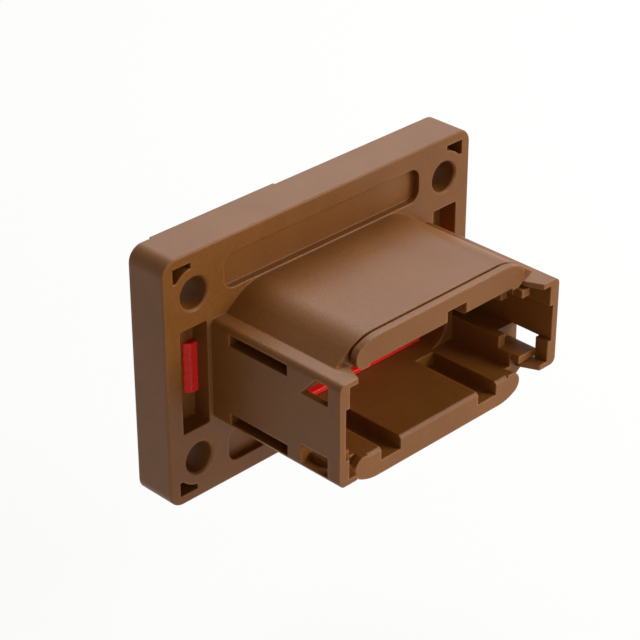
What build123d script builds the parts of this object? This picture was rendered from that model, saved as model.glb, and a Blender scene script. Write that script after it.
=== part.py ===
from build123d import *
import os

os.makedirs("parts", exist_ok=True)

# Panel mount receptacle for twelve pin contacts, moulded shell with a four hole flange
# Millimetres. The origin is the centre of the flange's back face, which lies on the panel
# +X is right as seen from the mouth, +Z is up, and the mouth opens towards -Y

# Fits between pieces
running_gap = 0.15
seal_gap = 0.10

# Flange
flange_w = 62.1
flange_h = 40.0
flange_t = 6.9
flange_corner_r = 2.35
flange_edge_r = 0.35
hole_pitch_x = 50.8
hole_pitch_z = 26.9
hole_d = 4.9
hole_lead = 0.3
land_left_x = -26.9
land_right_x = -3.4
land_h = 3.0
land_t = 0.35

# Two bare recesses in the flange's face, one above and one below the shell
recess_w = 39.6
recess_h = 5.5
recess_z = 14.35
recess_r = 1.8
recess_depth = 1.2

# Corner pockets that keep the flange's wall even, rounded off round each screw hole
pocket_edge_x = 1.8
pocket_edge_z = 1.55
pocket_w = 3.35
pocket_h = 2.3
pocket_wall = 1.75
pocket_depth = 3.0

# Slots at both ends of the flange, where the retainer's hooks come through
slot_inner_x = 23.2
slot_w = 5.1
slot_h = 16.7
slot_r = 0.4
slot_depth = 3.2

# Shell: two curved plates over the mouth and a wing at each side
plate_len = 23.1
plate_half_z = 11.4
plate_flat_x = 12.7
crown_r = 7.8
crown_end_x = 16.5
plate_tip_x = 17.3
plate_tip_z = 9.1
plate_foot_x = 15.2
lip_len = 1.15
groove_w = 0.5
groove_depth = 0.6
mouth_lead = 0.45
valley_slope = 0.72

# Wings, which shield the latch arms of the mating half; the left one is the taller
wing_len = 25.3
wing_x = 22.65
wing_z_left = 8.13
wing_z_right = 7.2
wing_edge_r = 1.0
wing_band_t = 1.85
wing_web_t = 1.15
wing_lip_t = 0.83
lip_reach_x = 17.9
lip_front_x = 19.2
lip_taper_len = 2.9

# Latch slots through the mouth's side walls
latch_z_left = 4.09
latch_z_right = 3.03
channel_z_left = 6.3
channel_z_right = 5.3
side_wall_t = 1.4
side_wall_back = 3.9
sill_z_left = 6.05
sill_z_right = 4.95
channel_end = 2.5

# Openings in the wings' outer faces
window_front = 2.3
window_len = 5.2
window_slant = 2.9
core_slot_back = 3.8
core_slot_len = 11.4
core_slot_h = 1.75
core_slot_depth = 3.3

# Mouth
mouth_half_x = 16.9
mouth_half_z = 7.15
well_half_x = 15.6
well_r = 3.6
well_front = 10.0
keyway_w = 3.95
keyway_pitch = 20.3
keyway_depth = 2.1
keyway_end = 10.65
top_keyway_x = 2.85

# Contacts, their carrier and the chamber of the wire seal
contact_cols = 6
contact_rows = 2
contact_pitch_x = 4.6
contact_pitch_z = 5.6
carrier_front = 1.8
carrier_t = 4.5
carrier_lip_t = 1.2
pin_d = 1.6
pin_reach = 7.9
shoulder_d = 2.6
shoulder_len = 3.0
crimp_d = 2.1
crimp_bore_d = 1.5
crimp_bore_depth = 4.5
crimp_len = 6.0
chamber_w = 36.0
chamber_h = 15.8
chamber_r = 3.4
barrel_wall = 1.5
barrel_len = 3.4

# Wedge lock in the mouth
wedge_plate_t = 1.6
tongue_len = 3.75
tongue_t = 0.7
tongue_half_x = 12.9

# Wire seal and its retainer behind it
seal_len = 6.8
seal_body_inset = 0.45
seal_ribs = 3
seal_rib_w = 0.9
seal_rib_pitch = 2.2
wire_hole_d = 2.4
retainer_plate_t = 1.8
retainer_edge = 0.4
arm_t = 1.2
arm_half_z = 4.0
hook_rise = 0.85

# Worked-out places, all measured along -Y from the panel
flange_front = flange_t
plate_front = flange_front + plate_len
groove_front = plate_front - lip_len
groove_back = groove_front - groove_w
wing_front = flange_front + wing_len
carrier_face = flange_front + carrier_front
chamber_face = carrier_face - carrier_t
slot_floor = flange_front - slot_depth
wing_inner_x = wing_x - wing_band_t
latch_outer_x = wing_x - wing_web_t
channel_inner_x = mouth_half_x + side_wall_t
valley_start_x = plate_flat_x + crown_r * valley_slope / (1 + valley_slope**2) ** 0.5


def crown_z(x, inset=0):
    """Height of the crown's round shoulder over its centre line, from Pythagoras."""
    return plate_half_z - crown_r + ((crown_r - inset) ** 2 - (x - plate_flat_x) ** 2) ** 0.5


def facing(depth):
    """Sketch plane square to the mouth's axis, this far in front of the panel."""
    return Plane.XZ.offset(depth)


def box_between(x0, x1, z0, z1, back, front, mode):
    """Rectangular run between two distances in front of the panel."""
    with BuildSketch(facing(back)) as section:
        with Locations(((x0 + x1) / 2, (z0 + z1) / 2)):
            Rectangle(abs(x1 - x0), abs(z1 - z0))
    extrude(section.sketch, amount=front - back, mode=mode)


def plate_outline(inset):
    """Lens shaped section of the upper plate, flat inside and domed outside."""
    end_x = crown_end_x - inset
    foot_x = plate_foot_x - inset
    with BuildLine() as outline:
        Line((0, mouth_half_z), (foot_x, mouth_half_z))
        ThreePointArc(
            (foot_x, mouth_half_z), (plate_tip_x - inset, plate_tip_z), (end_x, crown_z(end_x, inset))
        )
        RadiusArc(
            (end_x, crown_z(end_x, inset)), (plate_flat_x, plate_half_z - inset), inset - crown_r
        )
        Line((plate_flat_x, plate_half_z - inset), (0, plate_half_z - inset))
        mirror(about=Plane.YZ)
    make_face(outline.edges())


def skin_quarter(side, half_z):
    """One side of the shell's outer section, from the crown down to the wing's face."""
    valley_z = crown_z(valley_start_x)
    valley_x = valley_start_x + (valley_z - half_z) / valley_slope
    with BuildLine() as outline:
        Line((0, 0), (0, plate_half_z))
        Line((0, plate_half_z), (side * plate_flat_x, plate_half_z))
        RadiusArc(
            (side * plate_flat_x, plate_half_z), (side * valley_start_x, valley_z), side * crown_r
        )
        Polyline(
            (side * valley_start_x, valley_z),
            (side * valley_x, half_z),
            (side * (wing_x - wing_edge_r), half_z),
        )
        TangentArc(
            (side * (wing_x - wing_edge_r), half_z),
            (side * wing_x, half_z - wing_edge_r),
            tangent=(side, 0),
        )
        Polyline((side * wing_x, half_z - wing_edge_r), (side * wing_x, 0), (0, 0))
    make_face(outline.edges())


def contact_spots():
    """Centres of the contacts, seen from the mouth."""
    return GridLocations(contact_pitch_x, contact_pitch_z, contact_cols, contact_rows)


# Shell and flange, one moulding
with BuildPart() as shell:
    with BuildSketch(facing(0)):
        RectangleRounded(flange_w, flange_h, flange_corner_r)
    extrude(amount=flange_t)
    fillet(shell.edges().group_by(Axis.Y)[0], flange_edge_r)

    # Screw holes with a small lead-in
    with BuildSketch(facing(0)):
        with GridLocations(hole_pitch_x, hole_pitch_z, 2, 2):
            Circle(hole_d / 2)
    extrude(amount=flange_t, mode=Mode.SUBTRACT)
    with BuildSketch(facing(flange_front)):
        with GridLocations(hole_pitch_x, hole_pitch_z, 2, 2):
            Circle(hole_d / 2 + hole_lead)
    extrude(amount=-hole_lead, taper=45, mode=Mode.SUBTRACT)

    # Bare recesses above and below the shell
    with BuildSketch(facing(flange_front - recess_depth)):
        with GridLocations(0, 2 * recess_z, 1, 2):
            RectangleRounded(recess_w, recess_h, recess_r)
    extrude(amount=recess_depth, mode=Mode.SUBTRACT)

    # Corner pockets
    with BuildSketch(facing(flange_front - pocket_depth)):
        pocket_x = flange_w / 2 - pocket_edge_x - pocket_w / 2
        pocket_z = flange_h / 2 - pocket_edge_z - pocket_h / 2
        with GridLocations(2 * pocket_x, 2 * pocket_z, 2, 2):
            Rectangle(pocket_w, pocket_h)
        with GridLocations(hole_pitch_x, hole_pitch_z, 2, 2):
            Circle(hole_d / 2 + pocket_wall, mode=Mode.SUBTRACT)
    extrude(amount=pocket_depth, mode=Mode.SUBTRACT)

    # End slots with a narrower opening through to the back for each hook
    with BuildSketch(facing(slot_floor)):
        with GridLocations(2 * slot_inner_x + slot_w, 0, 2, 1):
            RectangleRounded(slot_w, slot_h, slot_r)
    extrude(amount=slot_depth, mode=Mode.SUBTRACT)
    hook_hole_w = arm_t + running_gap
    with BuildSketch(facing(0)):
        with GridLocations(2 * slot_inner_x + hook_hole_w, 0, 2, 1):
            Rectangle(hook_hole_w, 2 * (arm_half_z + running_gap))
    extrude(amount=slot_floor, mode=Mode.SUBTRACT)

    # Crown, valleys and wings as one skin as far as the groove
    with BuildSketch(facing(flange_front)) as skin:
        for side, half_z in ((-1, wing_z_left), (1, wing_z_right)):
            skin_quarter(side, half_z)
        mirror(about=Plane.XZ)
    extrude(amount=groove_back - flange_front)

    # Upper and lower plates, on to the mouth, with a narrow groove round them
    for inset, back, front in (
        (groove_depth, groove_back, groove_front),
        (0, groove_front, plate_front),
    ):
        with BuildSketch(facing(back)):
            plate_outline(inset)
            mirror(about=Plane.XZ)
        extrude(amount=front - back)

    # Barrel behind the flange for the wire seal
    with BuildSketch(facing(-barrel_len)):
        RectangleRounded(
            chamber_w + 2 * barrel_wall, chamber_h + 2 * barrel_wall, chamber_r + barrel_wall
        )
    extrude(amount=barrel_len)

    # Raised land along the top edge of the flange's back
    box_between(
        land_left_x, land_right_x, flange_h / 2 - land_h, flange_h / 2, -land_t, 0, Mode.ADD
    )

    # Mouth and the narrower well behind it
    box_between(
        -mouth_half_x, mouth_half_x, -mouth_half_z, mouth_half_z,
        flange_front + well_front, plate_front, Mode.SUBTRACT,
    )
    with BuildSketch(facing(carrier_face)):
        RectangleRounded(2 * well_half_x, 2 * mouth_half_z, well_r)
    extrude(amount=flange_front + well_front - carrier_face, mode=Mode.SUBTRACT)

    # Lead-in along the inner edges of both plates
    for level in (-1, 1):
        with BuildSketch(Plane.YZ.offset(mouth_lead - plate_foot_x)):
            Polygon(
                (-plate_front, level * mouth_half_z),
                (-plate_front, level * (mouth_half_z + mouth_lead)),
                (mouth_lead - plate_front, level * mouth_half_z),
                align=None,
            )
        extrude(amount=2 * (plate_foot_x - mouth_lead), mode=Mode.SUBTRACT)

    # Keyways: a pair in the floor and one in the roof
    for key_x in (-keyway_pitch / 2, keyway_pitch / 2):
        box_between(
            key_x - keyway_w / 2, key_x + keyway_w / 2, -mouth_half_z - keyway_depth, 0,
            flange_front + keyway_end, plate_front, Mode.SUBTRACT,
        )
    box_between(
        top_keyway_x - keyway_w / 2, top_keyway_x + keyway_w / 2,
        0, mouth_half_z + keyway_depth,
        flange_front + keyway_end, plate_front, Mode.SUBTRACT,
    )

    # Contact bores, stepped for the shoulders, and the seal chamber
    with BuildSketch(facing(chamber_face)):
        with contact_spots():
            Circle(pin_d / 2 + seal_gap)
    extrude(amount=carrier_t, mode=Mode.SUBTRACT)
    with BuildSketch(facing(chamber_face)):
        with contact_spots():
            Circle(shoulder_d / 2 + seal_gap)
    extrude(amount=carrier_t - carrier_lip_t, mode=Mode.SUBTRACT)
    with BuildSketch(facing(-barrel_len)):
        RectangleRounded(chamber_w, chamber_h, chamber_r)
    extrude(amount=chamber_face + barrel_len, mode=Mode.SUBTRACT)

    # Wings run on past the plates as open channels
    for side, half_z in ((-1, wing_z_left), (1, wing_z_right)):
        with BuildSketch(facing(groove_back)):
            with Locations((side * (wing_x + lip_reach_x) / 2, 0)):
                Rectangle(wing_x - lip_reach_x, 2 * half_z)
            wing_corners = vertices().group_by(Axis.X)[0 if side < 0 else -1]
            fillet(wing_corners, wing_edge_r)
        extrude(amount=wing_front - groove_back)

    # Latch slots and channels of the two wings
    for side, wing_z, latch_z, channel_z, sill_z in (
        (-1, wing_z_left, latch_z_left, channel_z_left, sill_z_left),
        (1, wing_z_right, latch_z_right, channel_z_right, sill_z_right),
    ):
        lip_z = wing_z - wing_lip_t
        channel_back = flange_front + channel_end
        window_back = wing_front - window_front - window_len
        step_back = wing_front - wing_len + plate_len - side_wall_back
        box_between(
            side * mouth_half_x, side * latch_outer_x, -latch_z, latch_z,
            channel_back, wing_front, Mode.SUBTRACT,
        )
        box_between(
            side * channel_inner_x, side * wing_inner_x, -channel_z, channel_z,
            window_back, wing_front, Mode.SUBTRACT,
        )
        box_between(
            side * mouth_half_x, side * channel_inner_x, -sill_z, sill_z,
            step_back, wing_front, Mode.SUBTRACT,
        )
        box_between(
            side * lip_reach_x, side * wing_inner_x, -lip_z, lip_z,
            groove_back, wing_front, Mode.SUBTRACT,
        )

        # Inner ends of the lips taper towards the front
        with BuildSketch(Plane.XY.offset(-wing_z)):
            Polygon(
                (side * lip_reach_x, -wing_front + lip_taper_len),
                (side * lip_reach_x, -wing_front),
                (side * lip_front_x, -wing_front),
                align=None,
            )
        extrude(amount=2 * wing_z, mode=Mode.SUBTRACT)

        # Front windows between the latch slot and the lips, then the coring slots
        for level in (-1, 1):
            slant = window_slant if side < 0 and level > 0 else 0
            if side < 0 or level < 0:
                with BuildSketch(Plane.YZ.offset(side * wing_inner_x - (side < 0) * wing_band_t)):
                    Polygon(
                        (-window_back, level * latch_z),
                        (-window_back - window_len, level * latch_z),
                        (-window_back - window_len, level * lip_z),
                        (-window_back - slant, level * lip_z),
                        align=None,
                    )
                extrude(amount=wing_band_t, mode=Mode.SUBTRACT)
            core_back = flange_front + core_slot_back
            box_between(
                side * (wing_x - core_slot_depth), side * wing_x,
                level * (lip_z - core_slot_h), level * lip_z,
                core_back, core_back + core_slot_len, Mode.SUBTRACT,
            )

shell.part.label = "shell"
export_step(shell.part, "parts/shell.step")

# Wedge lock that holds the contacts, with tongues along the floor and the roof
wedge_half_z = mouth_half_z - running_gap
with BuildPart() as wedge_lock:
    with BuildSketch(facing(carrier_face)):
        RectangleRounded(2 * (well_half_x - running_gap), 2 * wedge_half_z, well_r)
        with contact_spots():
            Circle(pin_d / 2 + running_gap, mode=Mode.SUBTRACT)
    extrude(amount=wedge_plate_t)
    for level in (-1, 1):
        box_between(
            -tongue_half_x, tongue_half_x,
            level * (wedge_half_z - tongue_t), level * wedge_half_z,
            carrier_face + wedge_plate_t, carrier_face + wedge_plate_t + tongue_len, Mode.ADD,
        )
wedge_lock.part.label = "wedge_lock"
export_step(wedge_lock.part, "parts/wedge_lock.step")

# Pin contacts, turned, with a hollow crimp barrel
pin_tip = flange_front + pin_reach
shoulder_face = carrier_face - carrier_lip_t
contact_x = [(i - (contact_cols - 1) / 2) * contact_pitch_x for i in range(contact_cols)]
contact_z = [(contact_rows - 1) / 2 * contact_pitch_z - i * contact_pitch_z for i in range(contact_rows)]
number = 0
for z in contact_z:
    for x in contact_x:
        number = number + 1
        with BuildPart() as contact:
            with BuildSketch(facing(shoulder_face)):
                with Locations((x, z)):
                    Circle(pin_d / 2)
            extrude(amount=pin_tip - shoulder_face)
            chamfer(contact.edges().group_by(Axis.Y)[0], pin_d / 4)
            with BuildSketch(facing(shoulder_face - shoulder_len)):
                with Locations((x, z)):
                    Circle(shoulder_d / 2)
            extrude(amount=shoulder_len)
            crimp_end = shoulder_face - shoulder_len - crimp_len
            with BuildSketch(facing(crimp_end)):
                with Locations((x, z)):
                    Circle(crimp_d / 2)
            extrude(amount=crimp_len)
            with BuildSketch(facing(crimp_end)):
                with Locations((x, z)):
                    Circle(crimp_bore_d / 2)
            extrude(amount=crimp_bore_depth, mode=Mode.SUBTRACT)
        contact.part.label = f"contact_{number:02d}"
        export_step(contact.part, f"parts/contact_{number:02d}.step")

# Wire seal, a ribbed block of soft rubber with a hole for each wire
seal_back = chamber_face - seal_len
with BuildPart() as wire_seal:
    with BuildSketch(facing(seal_back)):
        RectangleRounded(
            chamber_w - 2 * seal_body_inset, chamber_h - 2 * seal_body_inset, chamber_r - seal_body_inset
        )
    extrude(amount=seal_len)
    first_rib = seal_back + (seal_len - (seal_ribs - 1) * seal_rib_pitch - seal_rib_w) / 2
    for rib in range(seal_ribs):
        with BuildSketch(facing(first_rib + rib * seal_rib_pitch)):
            RectangleRounded(
                chamber_w - 2 * seal_gap, chamber_h - 2 * seal_gap, chamber_r - seal_gap
            )
        extrude(amount=seal_rib_w)
    with BuildSketch(facing(seal_back)):
        with contact_spots():
            Circle(crimp_d / 2 + seal_gap)
    extrude(amount=seal_len, mode=Mode.SUBTRACT)
wire_seal.part.label = "wire_seal"
export_step(wire_seal.part, "parts/wire_seal.step")

# Retainer that closes the seal chamber and snaps into the flange's end slots
with BuildPart() as seal_retainer:
    with BuildSketch(facing(-barrel_len)):
        RectangleRounded(
            chamber_w - 2 * running_gap, chamber_h - 2 * running_gap, chamber_r - running_gap
        )
    extrude(amount=barrel_len + seal_back)
    with BuildSketch(facing(-barrel_len - retainer_plate_t)):
        RectangleRounded(
            chamber_w + 2 * barrel_wall + 2 * retainer_edge,
            chamber_h + 2 * barrel_wall + 2 * retainer_edge,
            chamber_r + barrel_wall,
        )
        Rectangle(2 * (slot_inner_x + arm_t), 2 * arm_half_z)
    extrude(amount=retainer_plate_t)
    with BuildSketch(facing(-barrel_len - retainer_plate_t)):
        with contact_spots():
            Circle(wire_hole_d / 2)
    extrude(amount=barrel_len + retainer_plate_t + seal_back, mode=Mode.SUBTRACT)
    for side in (-1, 1):
        box_between(
            side * slot_inner_x, side * (slot_inner_x + arm_t), -arm_half_z, arm_half_z,
            -barrel_len, slot_floor + hook_rise, Mode.ADD,
        )
        with BuildSketch(Plane.XY.offset(-arm_half_z)):
            Polygon(
                (side * (slot_inner_x + arm_t), -slot_floor),
                (side * (slot_inner_x + arm_t + hook_rise), -slot_floor),
                (side * (slot_inner_x + arm_t), -slot_floor - hook_rise),
                align=None,
            )
        extrude(amount=2 * arm_half_z)
seal_retainer.part.label = "seal_retainer"
export_step(seal_retainer.part, "parts/seal_retainer.step")
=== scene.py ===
import math

import bpy
import numpy as np
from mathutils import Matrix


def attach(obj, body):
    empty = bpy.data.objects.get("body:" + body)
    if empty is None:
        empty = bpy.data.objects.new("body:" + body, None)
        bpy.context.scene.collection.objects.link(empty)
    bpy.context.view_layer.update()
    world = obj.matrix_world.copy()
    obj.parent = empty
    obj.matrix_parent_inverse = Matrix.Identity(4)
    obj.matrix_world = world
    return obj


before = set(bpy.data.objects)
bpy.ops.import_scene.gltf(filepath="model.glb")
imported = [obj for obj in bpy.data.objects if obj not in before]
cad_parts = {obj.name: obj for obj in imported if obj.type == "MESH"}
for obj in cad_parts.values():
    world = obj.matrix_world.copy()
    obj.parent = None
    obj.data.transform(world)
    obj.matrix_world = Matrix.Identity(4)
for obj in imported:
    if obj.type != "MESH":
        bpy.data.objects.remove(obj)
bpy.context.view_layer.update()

# Shell and flange: one injection moulding in brown glass-filled polyester.
# The mould is spark eroded, so the skin is satin with a fine even grain,
# and every outside corner comes off the tool with a small round.


def linear(hex_colour):
    """An sRGB hex colour as linear light: c/12.92 below 0.04045, else ((c+0.055)/1.055)^2.4."""
    srgb = np.array([int(hex_colour[i:i + 2], 16) for i in (1, 3, 5)]) / 255
    light = np.where(srgb <= 0.04045, srgb / 12.92, ((srgb + 0.055) / 1.055) ** 2.4)
    return (*light.tolist(), 1.0)


def add_node(tree, kind, settings=None, inputs=None):
    """Adds a node, sets its properties, then sets or links each input, by name or number."""
    node = tree.nodes.new(kind)
    for name, value in (settings or {}).items():
        setattr(node, name, value)
    for name, value in (inputs or {}).items():
        if isinstance(value, bpy.types.NodeSocket):
            tree.links.new(value, node.inputs[name])
        else:
            node.inputs[name].default_value = value
    return node


def new_material(name):
    """An empty node material, its tree, and the object's own coordinates in metres."""
    material = bpy.data.materials.new(name)
    material.use_nodes = True
    tree = material.node_tree
    tree.nodes.clear()
    place = add_node(tree, "ShaderNodeTexCoord").outputs["Object"]
    return material, tree, place


def finish_with(piece_name, material):
    """Gives a CAD solid its material in every slot."""
    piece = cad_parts[piece_name]
    if not piece.material_slots:
        piece.data.materials.append(material)
    for slot in piece.material_slots:
        slot.material = material


def moulded_plastic(name, deep, pale, roughness, grain_width, grain_height, corner_round):
    """Satin moulded plastic: cloudy two-tone colour, spark-eroded grain, soft corners and a
    painted highlight on outside corners.
    """
    material, tree, place = new_material(name)

    # Glass fibre and pigment flow leave faint clouds some 9 mm across
    cloud_width = 0.009
    cloud = add_node(tree, "ShaderNodeTexNoise", {"noise_dimensions": "3D"},
                     {"Vector": place, "Scale": 1 / cloud_width, "Detail": 3.0,
                      "Roughness": 0.55})
    blend = add_node(tree, "ShaderNodeMapRange", {},
                     {"Value": cloud.outputs["Fac"], "From Min": 0.3, "From Max": 0.7})
    colour = add_node(tree, "ShaderNodeMix", {"data_type": "RGBA"},
                      {"Factor": blend.outputs["Result"], "A": linear(deep), "B": linear(pale)})

    # The grain's pits are a little darker and duller than the skin between them
    pit_shade = 0.12
    pit_dulling = 0.09
    grain = add_node(tree, "ShaderNodeTexNoise", {"noise_dimensions": "3D"},
                     {"Vector": place, "Scale": 1 / grain_width, "Detail": 2.0,
                      "Roughness": 0.6})
    speckle = add_node(tree, "ShaderNodeMapRange", {},
                       {"Value": grain.outputs["Fac"], "From Min": 0.25, "From Max": 0.75,
                        "To Min": 1 - pit_shade, "To Max": 1 + pit_shade})
    tinted = add_node(tree, "ShaderNodeVectorMath", {"operation": "SCALE"},
                      {"Vector": colour.outputs["Result"], "Scale": speckle.outputs["Result"]})
    satin = add_node(tree, "ShaderNodeMapRange", {},
                     {"Value": grain.outputs["Fac"], "From Min": 0.25, "From Max": 0.75,
                      "To Min": roughness - pit_dulling, "To Max": roughness + pit_dulling})

    # Outside corners get a painted highlight: their colour is paled up to 1.45 times to stand
    # in for the light their rounds catch. Handling also polishes them a little smoother.
    # Looking inwards, a point near one soon meets the next face, so the inside occlusion falls
    # from 1 there and nowhere else
    open_depth, corner_depth = 0.95, 0.55
    highlight_paling = 1.45
    corner_polish = 0.10
    depth = add_node(tree, "ShaderNodeAmbientOcclusion",
                     {"samples": 6, "inside": True, "only_local": True},
                     {"Distance": corner_round})
    # Painted highlight: the base colour is paled towards outside corners
    painted_highlight = add_node(tree, "ShaderNodeMapRange", {},
                     {"Value": depth.outputs["AO"], "From Min": open_depth,
                      "From Max": corner_depth, "To Min": 1.0, "To Max": highlight_paling})
    highlighted = add_node(tree, "ShaderNodeVectorMath", {"operation": "SCALE"},
                     {"Vector": tinted.outputs["Vector"], "Scale": painted_highlight.outputs["Result"]})
    rubbed = add_node(tree, "ShaderNodeMapRange", {},
                      {"Value": depth.outputs["AO"], "From Min": open_depth,
                       "From Max": corner_depth, "To Min": 0.0, "To Max": corner_polish})
    sheen = add_node(tree, "ShaderNodeMath", {"operation": "SUBTRACT"},
                     {0: satin.outputs["Result"], 1: rubbed.outputs["Result"]})

    # The corner rounds and the grain both tilt the light, but move no faces
    corner = add_node(tree, "ShaderNodeBevel", {"samples": 6}, {"Radius": corner_round})
    bump = add_node(tree, "ShaderNodeBump", {},
                    {"Height": grain.outputs["Fac"], "Distance": grain_height,
                     "Strength": 1.0, "Normal": corner.outputs["Normal"]})
    skin = add_node(tree, "ShaderNodeBsdfPrincipled", {},
                    {"Base Color": highlighted.outputs["Vector"], "Roughness": sheen.outputs["Value"],
                     "IOR": 1.5, "Specular IOR Level": 0.25, "Normal": bump.outputs["Normal"]})
    add_node(tree, "ShaderNodeOutputMaterial", {}, {"Surface": skin.outputs["BSDF"]})
    return material


# Real spark-erosion grain is about 0.1 mm across, and is drawn at 0.32 mm so that it shows
brown_polyester = moulded_plastic(
    "glass_filled_polyester_brown", deep="#754619", pale="#7e4e1f", roughness=0.43,
    grain_width=0.00032, grain_height=0.000022, corner_round=0.00035)
finish_with("shell", brown_polyester)


# Latch ledges: two thin webs moulded with the shell, which carry the right
# wing's channel forward to the plates' front, above and below the latch slot.
# The lower one reaches across to the wing, and the upper one stops short.
def moulded_web(name, left, right, low, high, front, back):
    """A bar along Y: a rectangle with quarter-round corners, carried from front to back."""
    round_r = 0.00015
    steps_a_corner = 4
    quarter = np.linspace(0, 90, steps_a_corner)
    turns = np.radians(np.arange(4)[:, None] * 90 + quarter[None, :]).ravel()
    half_x = (right - left) / 2 - round_r
    half_z = (high - low) / 2 - round_r
    side_x = np.repeat([1, -1, -1, 1], steps_a_corner)
    side_z = np.repeat([1, 1, -1, -1], steps_a_corner)
    around_x = (left + right) / 2 + side_x * half_x + round_r * np.cos(turns)
    around_z = (low + high) / 2 + side_z * half_z + round_r * np.sin(turns)
    count = len(turns)
    ends = [np.column_stack([around_x, np.full(count, y), around_z]) for y in (front, back)]
    step = np.arange(count)
    after = (step + 1) % count
    sides = np.column_stack([step, step + count, after + count, after])
    faces = [*sides.tolist(), step.tolist(), (step[::-1] + count).tolist()]
    mesh = bpy.data.meshes.new(name)
    mesh.from_pydata(np.vstack(ends).tolist(), [], faces)
    mesh.materials.append(brown_polyester)
    web = bpy.data.objects.new(name, mesh)
    bpy.context.collection.objects.link(web)
    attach(web, "root")


# Each stands a hair proud of the mouth's wall and the latch sill, so no two faces coincide
plates_front = -0.0300
mouth_wall = 0.01696
latch_sill = 0.00491
moulded_web("right_latch_ledge_lower", left=mouth_wall, right=0.0209,
            low=-0.00605, high=-latch_sill, front=plates_front, back=-0.0220)
moulded_web("right_latch_ledge_upper", left=mouth_wall, right=0.0187,
            low=latch_sill, high=0.00615, front=plates_front, back=-0.0270)

# Wedge lock: a red moulded plate that is pushed into the mouth over the pins,
# with a tongue along the floor and the roof to grip it by. It is smoother
# than the shell, since its tool is polished.
red_polyester = moulded_plastic(
    "polished_polyester_red", deep="#e4261e", pale="#ec3026", roughness=0.36,
    grain_width=0.00045, grain_height=0.000006, corner_round=0.00030)
finish_with("wedge_lock", red_polyester)

# Seal retainer: the same red plastic, a plate across the back of the seal
# whose two arms come forward through the flange and snap in its end slots.
finish_with("seal_retainer", red_polyester)


# Wire seal: a block of orange silicone rubber, moulded with a hole for each wire.
# Silicone is soft and a little translucent, so it looks waxy, with no grain.
def silicone_rubber(name, deep, pale):
    """Waxy silicone: faint clouds 3 mm across in the colour and in a very low swell."""
    material, tree, place = new_material(name)
    cloud_width = 0.003
    swell_height = 0.00002
    cloud = add_node(tree, "ShaderNodeTexNoise", {"noise_dimensions": "3D"},
                     {"Vector": place, "Scale": 1 / cloud_width, "Detail": 2.0})
    colour = add_node(tree, "ShaderNodeMix", {"data_type": "RGBA"},
                      {"Factor": cloud.outputs["Fac"], "A": linear(deep), "B": linear(pale)})
    bump = add_node(tree, "ShaderNodeBump", {},
                    {"Height": cloud.outputs["Fac"], "Distance": swell_height,
                     "Strength": 0.4})
    skin = add_node(tree, "ShaderNodeBsdfPrincipled", {},
                    {"Base Color": colour.outputs["Result"], "Roughness": 0.48, "IOR": 1.41,
                     "Normal": bump.outputs["Normal"]})
    add_node(tree, "ShaderNodeOutputMaterial", {}, {"Surface": skin.outputs["BSDF"]})
    return material


finish_with("wire_seal", silicone_rubber("silicone_rubber_orange", "#b4521a", "#c4602a"))


# Contacts: solid pins turned from copper alloy and nickel plated.
# The turning tool leaves fine rings round each pin under the bright plating.
def turned_nickel(name, dark, bright):
    """Plated metal with turning rings: a wave along the pin's own length."""
    material, tree, place = new_material(name)
    # A wave repeats each 2 pi / 20 at scale 1. Real rings are some 0.1 mm apart,
    # and are drawn 0.24 mm apart so that they show.
    ring_gap = 0.00024
    ring_height = 0.000004
    tarnish_width = 0.002
    rings = add_node(tree, "ShaderNodeTexWave", {"wave_type": "BANDS", "bands_direction": "Y"},
                     {"Vector": place, "Scale": 2 * math.pi / 20 / ring_gap,
                      "Distortion": 0.6, "Detail": 1.0})
    tarnish = add_node(tree, "ShaderNodeTexNoise", {"noise_dimensions": "3D"},
                       {"Vector": place, "Scale": 1 / tarnish_width, "Detail": 3.0})
    colour = add_node(tree, "ShaderNodeMix", {"data_type": "RGBA"},
                      {"Factor": tarnish.outputs["Fac"], "A": linear(dark),
                       "B": linear(bright)})
    dull = add_node(tree, "ShaderNodeMapRange", {},
                    {"Value": tarnish.outputs["Fac"], "To Min": 0.20, "To Max": 0.36})
    bump = add_node(tree, "ShaderNodeBump", {},
                    {"Height": rings.outputs["Fac"], "Distance": ring_height,
                     "Strength": 0.5})
    skin = add_node(tree, "ShaderNodeBsdfPrincipled", {},
                    {"Base Color": colour.outputs["Result"], "Metallic": 1.0,
                     "Roughness": dull.outputs["Result"], "Normal": bump.outputs["Normal"]})
    add_node(tree, "ShaderNodeOutputMaterial", {}, {"Surface": skin.outputs["BSDF"]})
    return material


contact_count = 12
nickel_plate = turned_nickel("nickel_plated_copper_alloy", dark="#b9b2a2", bright="#cfc9bb")
for number in range(1, contact_count + 1):
    finish_with(f"contact_{number:02d}", nickel_plate)

# Studio: a pale floor under the part and a white surround. What the camera sees
# directly or in a gloss is white, while the part itself is lit only by soft lamps.
floor_drop = 0.060
floor_half = 1.5
floor_glow = 0.85
room_light = 0.13
white = (1, 1, 1, 1)

corner_xy = np.array([(-1, -1), (1, -1), (1, 1), (-1, 1)]) * floor_half
corners = np.column_stack([corner_xy, np.full(4, -floor_drop)])
floor_mesh = bpy.data.meshes.new("studio_floor")
floor_mesh.from_pydata(corners.tolist(), [], [(0, 1, 2, 3)])
floor = bpy.data.objects.new("studio_floor", floor_mesh)
bpy.context.collection.objects.link(floor)


def seen_white(tree):
    """1 where a ray comes from the camera, a gloss or a glass, the largest of the three."""
    seen = add_node(tree, "ShaderNodeLightPath")
    direct = add_node(tree, "ShaderNodeMath", {"operation": "MAXIMUM"},
                      {0: seen.outputs["Is Camera Ray"], 1: seen.outputs["Is Glossy Ray"]})
    either = add_node(tree, "ShaderNodeMath", {"operation": "MAXIMUM"},
                      {0: direct.outputs["Value"], 1: seen.outputs["Is Transmission Ray"]})
    return either.outputs["Value"]


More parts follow.
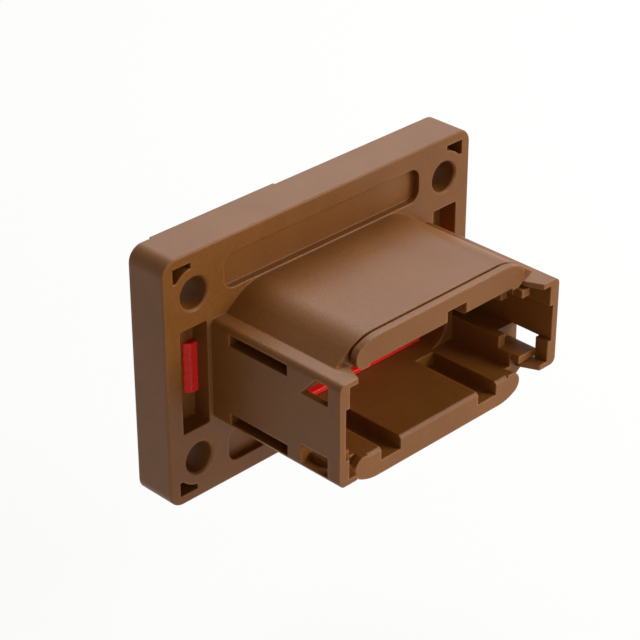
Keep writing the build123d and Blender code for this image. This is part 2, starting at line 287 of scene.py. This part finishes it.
paper, tree, _ = new_material("matt_white_paper")
share = add_node(tree, "ShaderNodeMath", {"operation": "MULTIPLY"},
                 {0: seen_white(tree), 1: floor_glow})
matt = add_node(tree, "ShaderNodeBsdfDiffuse", {}, {"Color": linear("#f4f2ef")})
glow = add_node(tree, "ShaderNodeEmission", {}, {"Color": white, "Strength": 1.0})
paper_mix = add_node(tree, "ShaderNodeMixShader", {},
                     {0: share.outputs["Value"], 1: matt.outputs["BSDF"],
                      2: glow.outputs["Emission"]})
add_node(tree, "ShaderNodeOutputMaterial", {}, {"Surface": paper_mix.outputs["Shader"]})
floor_mesh.materials.append(paper)

room = bpy.data.worlds.new("white_room")
bpy.context.scene.world = room
room.use_nodes = True
tree = room.node_tree
tree.nodes.clear()
level = add_node(tree, "ShaderNodeMix", {"data_type": "FLOAT"},
                 {"Factor": seen_white(tree), "A": room_light, "B": 1.0})
around = add_node(tree, "ShaderNodeBackground", {},
                  {"Color": white, "Strength": level.outputs["Result"]})
add_node(tree, "ShaderNodeOutputWorld", {}, {"Surface": around.outputs["Background"]})


# Lamps: a broad soft box above and behind for the pale upper faces, one in front
# on the right for the faces round the mouth, and a weak one in front on the left
# that reaches into the flange's end slot.
def soft_box(name, place, size, power):
    """A square lamp at a place, turned so that its light points at the part's middle."""
    part_middle = np.array((0, -0.015, 0))
    lamp = bpy.data.lights.new(name, "AREA")
    lamp.shape = "SQUARE"
    lamp.size = size
    lamp.energy = power
    holder = bpy.data.objects.new(name, lamp)
    bpy.context.collection.objects.link(holder)
    aim = part_middle - np.array(place)
    tilt = math.atan2(math.hypot(aim[0], aim[1]), -aim[2])
    heading = math.atan2(aim[1], aim[0]) - math.pi / 2
    holder.location = place
    holder.rotation_euler = (tilt, 0, heading)


soft_box("back_soft_box", (0.29, 0.17, 0.44), size=0.42, power=2.5)
soft_box("front_soft_box", (0.34, -0.50, 0.29), size=0.35, power=3.2)
soft_box("left_soft_box", (-0.16, -0.58, 0.16), size=0.30, power=0.5)

# Camera: a long lens from the front left, 30 degrees above the part,
# at the distance where the flange's edges run together as they do in the picture.
elevation = 30
camera = bpy.data.cameras.new("camera")
camera.sensor_width = 36.0
camera.lens = 122.52
eye = bpy.data.objects.new("camera", camera)
bpy.context.collection.objects.link(eye)
eye.location = (-0.1970, -0.2028, 0.1593)
eye.rotation_euler = (math.radians(90 - elevation), 0, math.radians(-45))
bpy.context.scene.camera = eye
bpy.context.scene.view_settings.view_transform = "Standard"
